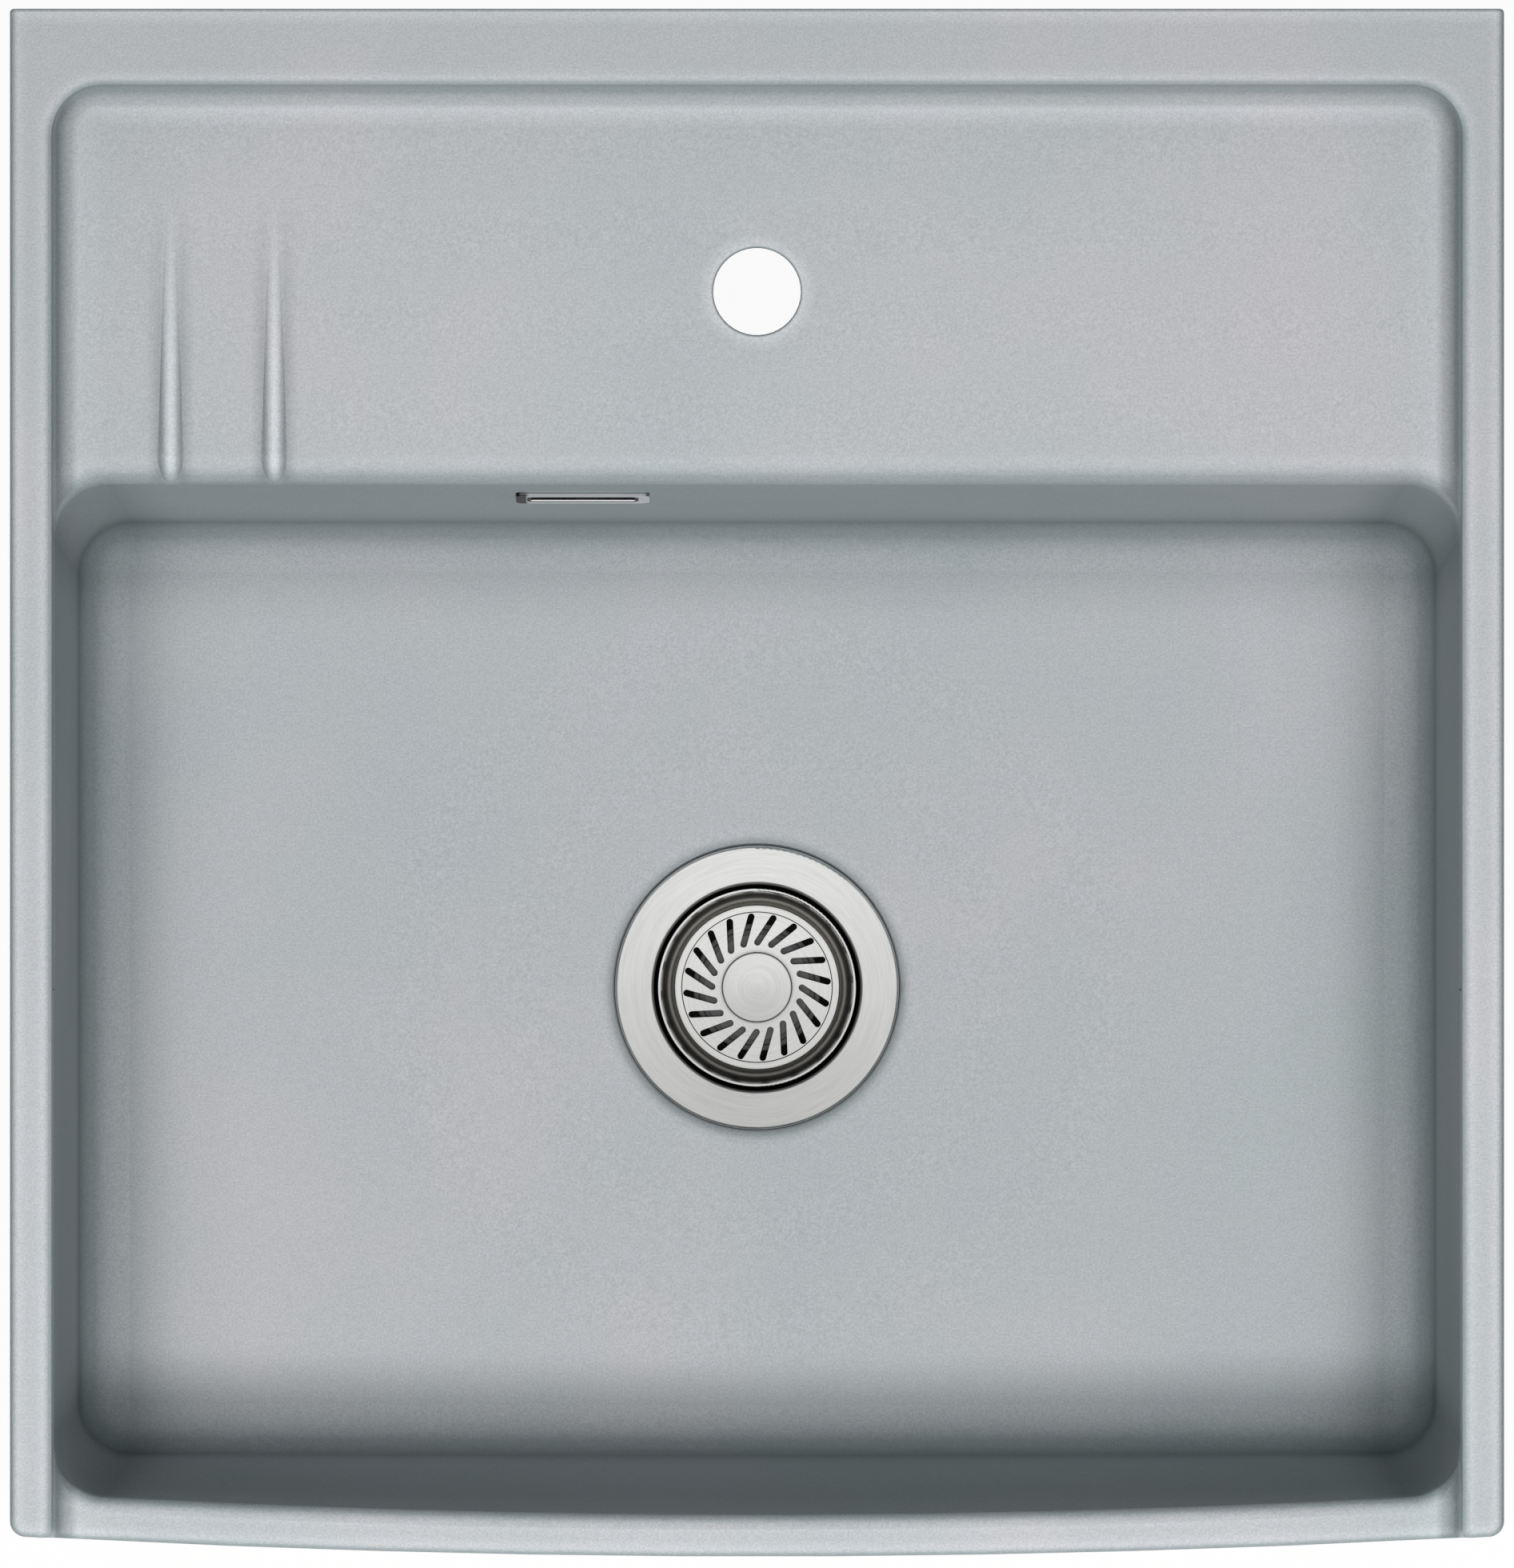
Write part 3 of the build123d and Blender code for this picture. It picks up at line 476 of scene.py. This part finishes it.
def ribMasks(tree, place, values):
    away = [doMath(tree, "ABSOLUTE", doMath(tree, "SUBTRACT", place["X"], x)) for x in values["places"]]
    side = doMath(tree, "MINIMUM", *away)
    along = times(
        tree,
        rise(tree, place["Y"], values["start"]),
        rise(tree, place["Y"], values["end"]),
        rise(tree, place["Z"], values["heights"]),
    )
    foot = doMath(tree, "MINIMUM", rise(tree, side, values["footIn"]), fall(tree, side, values["footOut"]))
    return times(tree, fall(tree, side, values["crest"]), along), times(tree, foot, along)


def coveTones(tree, place, values):
    # painted shade and highlight: tones by distance past a line with rounded corners
    corner, brightest = values["corner"], values["brightest"]
    across = doMath(tree, "SUBTRACT", doMath(tree, "ABSOLUTE", place["X"]), values["halfX"] - corner)
    along = doMath(tree, "SUBTRACT", place["Y"], values["backY"] - corner)
    outer = [doMath(tree, "MAXIMUM", part, 0.0) for part in (across, along)]
    inner = doMath(tree, "MINIMUM", doMath(tree, "MAXIMUM", across, along), 0.0)
    past = doMath(tree, "ADD", doMath(tree, "SUBTRACT", hypotenuse(tree, *outer), corner), inner)
    back, side = (
        ringTones(tree, past, [(stop, grey(tone / brightest)) for stop, tone in values[run]])
        for run in ("back", "side")
    )
    turn = rise(tree, doMath(tree, "SUBTRACT", across, along), values["turn"])
    high = rise(tree, place["Z"], values["heights"])
    tones = mixColours(tree, high, grey(1.0 / brightest), mixColours(tree, turn, back, side))
    return spread(tree, tones, 0.0, 1.0, 0.0, brightest)


def makeMattGlaze(values):
    material, tree, shader, where = startMaterial("mattGlaze")
    spot = where["Object"]
    place = splitXyz(tree, spot)
    up = splitXyz(tree, where["Normal"])["Z"]
    wide = useGroup(tree, softClouds, Vector=spot, Size=values["patch"])["Mask"]
    smallContrast = values["smallContrast"]
    small = useGroup(tree, softClouds, Vector=spot, Size=values["smallPatch"], Contrast=smallContrast)["Mask"]
    grain = useGroup(tree, fineGrain, Vector=spot, Size=values["grain"])
    dark = values["grainDark"]
    speck = mixColours(tree, grain["Shade"], grey(dark), grey(2.0 - dark))

    blend = weighted(tree, wide, small, values["patchShare"])
    glaze = tinted(tree, mixColours(tree, blend, values["lilacGrey"], values["tealGrey"]), speck)
    # painted shade in hollows, weaker on the ledge and along the back, stronger along the sides
    hollowShade = times(
        tree,
        fall(tree, occlusion(tree, values["paintedShadeReach"], values["samples"]), values["paintedShadeSpan"]),
        spread(tree, place["Z"], *values["ledgeHeights"], 1.0, values["ledgePaintedShade"]),
        spread(tree, place["Y"], *values["backRun"], 1.0, values["backPaintedShade"]),
        spread(tree, doMath(tree, "ABSOLUTE", place["X"]), *values["sideRun"], 1.0, values["sidePaintedShade"]),
    )
    glaze = tinted(tree, glaze, mixColours(tree, hollowShade, white, values["paintedShadeTone"]))
    # painted shade down the steep inner faces, the outer faces left out
    outside = outsideMask(tree, place, values["outside"])
    level = doMath(tree, "MAXIMUM", rise(tree, up, values["steepSpan"]), outside)
    glaze = tinted(tree, glaze, mixColours(tree, level, values["steepTone"], white))
    # painted highlight over rounded edges
    paintedEdgeLight = fall(tree, occlusion(tree, values["edgeReach"], values["samples"], True), values["edgeSpan"])
    glaze = mixColours(tree, paintedEdgeLight, glaze, tinted(tree, glaze, grey(values["edgeTone"])))
    # painted shade and highlight round the step of the ledge and lip
    glaze = tinted(tree, glaze, coveTones(tree, place, values["cove"]))
    # painted highlight on the rib crests, painted shade along their feet
    crest, foot = ribMasks(tree, place, values["ribs"])
    for mask, tone in ((crest, values["ribs"]["crestTone"]), (foot, values["ribs"]["footTone"])):
        glaze = mixColours(tree, mask, glaze, tinted(tree, glaze, grey(tone)))

    bare = fall(tree, up, values["rawSpan"])
    raw = tinted(tree, mixColours(tree, small, values["rawClay"], values["rawDark"]), speck)
    rough = spread(tree, grain["Shade"], 0.0, 1.0, *values["roughness"])
    rough = doMath(tree, "ADD", rough, times(tree, bare, values["rawRoughness"]))
    put(tree, shader["Base Color"], mixColours(tree, bare, glaze, raw))
    put(tree, shader["Roughness"], rough)
    put(tree, shader["Specular IOR Level"], values["specular"])
    addBump(tree, shader, grain["Height"], *values["bump"])
    return material


steelLook = {
    "light": (0.70, 0.70, 0.685),
    "dark": (0.58, 0.58, 0.57),
    "pitch": 0.0007,
    "roughness": (0.24, 0.38),
    "bump": (0.2, 0.00005),  # strength and depth
    "sweep": 0.20,  # painted sheen round the axis, brightest at the back
    "sweepCore": 0.004,  # and fades at the middle
}
knobLook = {
    **steelLook,
    "rings": ((0.0135, white), (0.0139, (0.30, 0.30, 0.29)), (0.0142, grey(0.10))),  # painted shade round the edge
}
cupLook = {
    **steelLook,
    "rings": ((0.0418, (0.05, 0.048, 0.045)), (0.0425, grey(0.30)), (0.0429, white)),  # painted shade inside the cup
}
basketLook = {
    **steelLook,
    "light": (0.72, 0.72, 0.71),
    "dark": (0.62, 0.62, 0.61),
    "pitch": 0.0009,
    "roughness": (0.12, 0.22),
    # a weaker painted sheen
    "sweep": 0.12,
    "rings": (  # painted reflection and shade in bands up the standing wall, by radius
        (0.0330, (0.80, 0.78, 0.74)),
        (0.0342, (0.26, 0.245, 0.215)),
        (0.0356, (0.36, 0.33, 0.285)),
        (0.0366, (0.08, 0.072, 0.062)),
        (0.0378, (0.04, 0.036, 0.032)),
        (0.0386, (0.25, 0.235, 0.21)),
        (0.0390, white),
    ),
    "wallSpan": (-0.6, -0.1),  # only on faces that look at the axis
}
chromeLook = {
    "light": (0.80, 0.80, 0.80),
    "dark": (0.72, 0.73, 0.74),
    "pitch": 0.004,
    "roughness": (0.05, 0.10),
    "paintedReflection": {  # painted reflection of the bowl round the overflow cover
        "edgeTone": 0.12,  # painted dark reflection on rounded edges, between upright and level
        "upright": (0.22, 0.38),
        "level": (0.78, 0.93),
        "ear": (-0.0926, -0.0912),  # where the left ear ends
        # painted dark reflection on the left ear
        "earTone": 0.11,
    },
}
brassLook = {
    "light": (0.78, 0.60, 0.30),
    "dark": (0.62, 0.44, 0.20),
    "pitch": 0.0006,
    "roughness": (0.22, 0.36),
    "bump": (0.2, 0.00005),
}
paintedDarkMetal = {
    "tones": (0.1, 0.6),  # where the painted shade and reflection run dark, it is hardly metal
    "metallic": (0.05, 1.0),
}


def facingIn(tree, where, place, radius, span):
    # 1 on faces that look at the upright axis, 0 on level and outer ones
    way = splitXyz(tree, where["Normal"])
    along = doMath(tree, "ADD", *(times(tree, way[axis], place[axis]) for axis in ("X", "Y")))
    return fall(tree, doMath(tree, "DIVIDE", along, radius), span)


def paintedReflectionTones(tree, where, place, values):
    # painted reflection: level faces stay bright, rounded edges and the ear by the bowl's dark side go dark
    up = splitXyz(tree, where["Normal"])["Z"]
    upright = spread(tree, up, *values["upright"], 1.0, values["edgeTone"])
    edges = doMath(tree, "MAXIMUM", upright, rise(tree, up, values["level"]))
    return times(tree, edges, spread(tree, place["X"], *values["ear"], values["earTone"], 1.0))


def makeTurnedMetal(name, values):
    material, tree, shader, where = startMaterial(name)
    lines = useGroup(tree, turnedLines, Vector=where["Object"], Pitch=values["pitch"])
    metal = mixColours(tree, lines["Shade"], values["dark"], values["light"])
    place = splitXyz(tree, where["Object"])
    radius = flatRadius(tree, place)
    if "sweep" in values:
        # painted sheen, lighter at the back and darker at the front
        turn = doMath(tree, "DIVIDE", place["Y"], doMath(tree, "ADD", radius, values["sweepCore"]))
        sheen = spread(tree, turn, -1.0, 1.0, 1.0 - values["sweep"], 1.0 + values["sweep"])
        metal = tinted(tree, metal, sheen)
    put(tree, shader["Metallic"], 1.0)
    # painted shade and painted reflection, by radius or by facing
    paintedDark = None
    if "rings" in values:
        paintedDark = ringTones(tree, radius, values["rings"])
    elif "paintedReflection" in values:
        paintedDark = paintedReflectionTones(tree, where, place, values["paintedReflection"])
    if "wallSpan" in values:
        paintedDark = mixColours(tree, facingIn(tree, where, place, radius, values["wallSpan"]), white, paintedDark)
    if paintedDark:
        metal = tinted(tree, metal, paintedDark)
        put(tree, shader["Metallic"], spread(tree, paintedDark, *paintedDarkMetal["tones"], *paintedDarkMetal["metallic"]))
        put(tree, shader["Specular IOR Level"], 0.0)
    put(tree, shader["Base Color"], metal)
    put(tree, shader["Roughness"], spread(tree, lines["Shade"], 0.0, 1.0, *values["roughness"]))
    if "bump" in values:
        addBump(tree, shader, lines["Height"], *values["bump"])
    return material


mouldedLook = {
    "cloud": 0.03,
    "cloudContrast": 0.7,
    "cloudShare": 0.5,  # the rest is grain
    "bump": (0.2, 0.0001),  # strength and depth
}
whitePlasticLook = {
    **mouldedLook,
    "light": (0.76, 0.76, 0.74),
    "dark": (0.70, 0.70, 0.68),
    "grain": 0.0008,
    "roughness": (0.36, 0.50),
}
greyPlasticLook = {
    **mouldedLook,
    "light": (0.075, 0.075, 0.077),
    "dark": (0.050, 0.050, 0.052),
    "grain": 0.0006,
    "roughness": (0.38, 0.55),
}
sealRubberLook = {
    **mouldedLook,
    "light": (0.040, 0.040, 0.042),
    "dark": (0.022, 0.022, 0.023),
    "grain": 0.0007,
    "roughness": (0.55, 0.75),
}
plugRubberLook = {
    **mouldedLook,
    "light": (0.060, 0.060, 0.060),
    "dark": (0.038, 0.038, 0.038),
    "grain": 0.0006,
    "roughness": (0.5, 0.7),
    "lineRadius": 0.0236,  # moulded ring
    "lineSpan": (0.0002, 0.0004),  # from its middle
    "lineTone": 0.004,
}


def makeMoulded(name, values):
    material, tree, shader, where = startMaterial(name)
    spot = where["Object"]
    cloudContrast = values["cloudContrast"]
    cloud = useGroup(tree, softClouds, Vector=spot, Size=values["cloud"], Contrast=cloudContrast)["Mask"]
    grain = useGroup(tree, fineGrain, Vector=spot, Size=values["grain"])
    tone = weighted(tree, cloud, grain["Shade"], values["cloudShare"])
    colour = mixColours(tree, tone, values["dark"], values["light"])
    if "lineRadius" in values:
        radius = flatRadius(tree, splitXyz(tree, spot))
        aside = doMath(tree, "ABSOLUTE", doMath(tree, "SUBTRACT", radius, values["lineRadius"]))
        colour = mixColours(tree, fall(tree, aside, values["lineSpan"]), colour, grey(values["lineTone"]))
    put(tree, shader["Base Color"], colour)
    put(tree, shader["Roughness"], spread(tree, grain["Shade"], 0.0, 1.0, *values["roughness"]))
    addBump(tree, shader, grain["Height"], *values["bump"])
    return material


turnedSteel = makeTurnedMetal("turnedSteel", steelLook)
whitePlastic = makeMoulded("whitePlastic", whitePlasticLook)
sealRubber = makeMoulded("sealRubber", sealRubberLook)
finishes = {
    "sink_body": makeMattGlaze(glazeLook),
    "strainer_cup": makeTurnedMetal("cupSteel", cupLook),
    "basket_knob": makeTurnedMetal("knobSteel", knobLook),
    "basket": makeTurnedMetal("basketSteel", basketLook),
    "overflow_cover": makeTurnedMetal("chrome", chromeLook),
    "thread_insert": makeTurnedMetal("brass", brassLook),
    "plug_carrier": makeMoulded("greyPlastic", greyPlasticLook),
    "plug_seal": makeMoulded("plugRubber", plugRubberLook),
}
for name in ("basket_stem", "stem_nut", "clamp_screw", "screw_washer"):
    finishes[name] = turnedSteel
for name in ("waste_body", "overflow_elbow", "overflow_pipe", "upper_pipe_nut", "lower_pipe_nut"):
    finishes[name] = whitePlastic
for name in ("flange_seal", "floor_gasket", "overflow_seal", "upper_pipe_seal", "lower_pipe_seal"):
    finishes[name] = sealRubber
for name, finish in finishes.items():
    nodes[name].material_slots[0].material = finish
print("finishes on", len(finishes), "of", len(nodes), "nodes")

threadShape = {
    "root": 0.0236,  # inside the outlet's wall
    "crest": 0.0243,
    "pitch": 0.00231,
    "top": -0.0537,  # middle of the first turn, under the collar
    "turns": 6,
    "stepsPerTurn": 48,
    "flank": 0.40,  # half width at the root, in pitches
    "flat": 0.09,  # half width at the crest
    "weld": 1e-6,
}


def makeOutletThread(values):
    root, crest, flank, flat, pitch = (values[key] for key in ("root", "crest", "flank", "flat", "pitch"))
    corners = ((root, flank), (root, -flank), (crest, -flat), (crest, flat))
    bm = bmesh.new()
    verts = [bm.verts.new((radius, 0.0, values["top"] + side * pitch)) for radius, side in corners]
    tooth = bm.faces.new(verts)
    bmesh.ops.spin(
        bm,
        geom=[tooth, *tooth.edges, *tooth.verts],
        cent=(0.0, 0.0, 0.0),
        axis=(0.0, 0.0, 1.0),
        dvec=(0.0, 0.0, -pitch / values["stepsPerTurn"]),
        angle=2 * math.pi * values["turns"],
        steps=values["turns"] * values["stepsPerTurn"],
    )
    bmesh.ops.remove_doubles(bm, verts=bm.verts, dist=values["weld"])
    bmesh.ops.recalc_face_normals(bm, faces=bm.faces)
    mesh = bpy.data.meshes.new("outletThread")
    bm.to_mesh(mesh)
    bm.free()
    mesh.materials.append(whitePlastic)
    thread = bpy.data.objects.new("outletThread", mesh)
    bpy.context.scene.collection.objects.link(thread)
    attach(thread, "sink")


makeOutletThread(threadShape)
print("outlet thread cut")
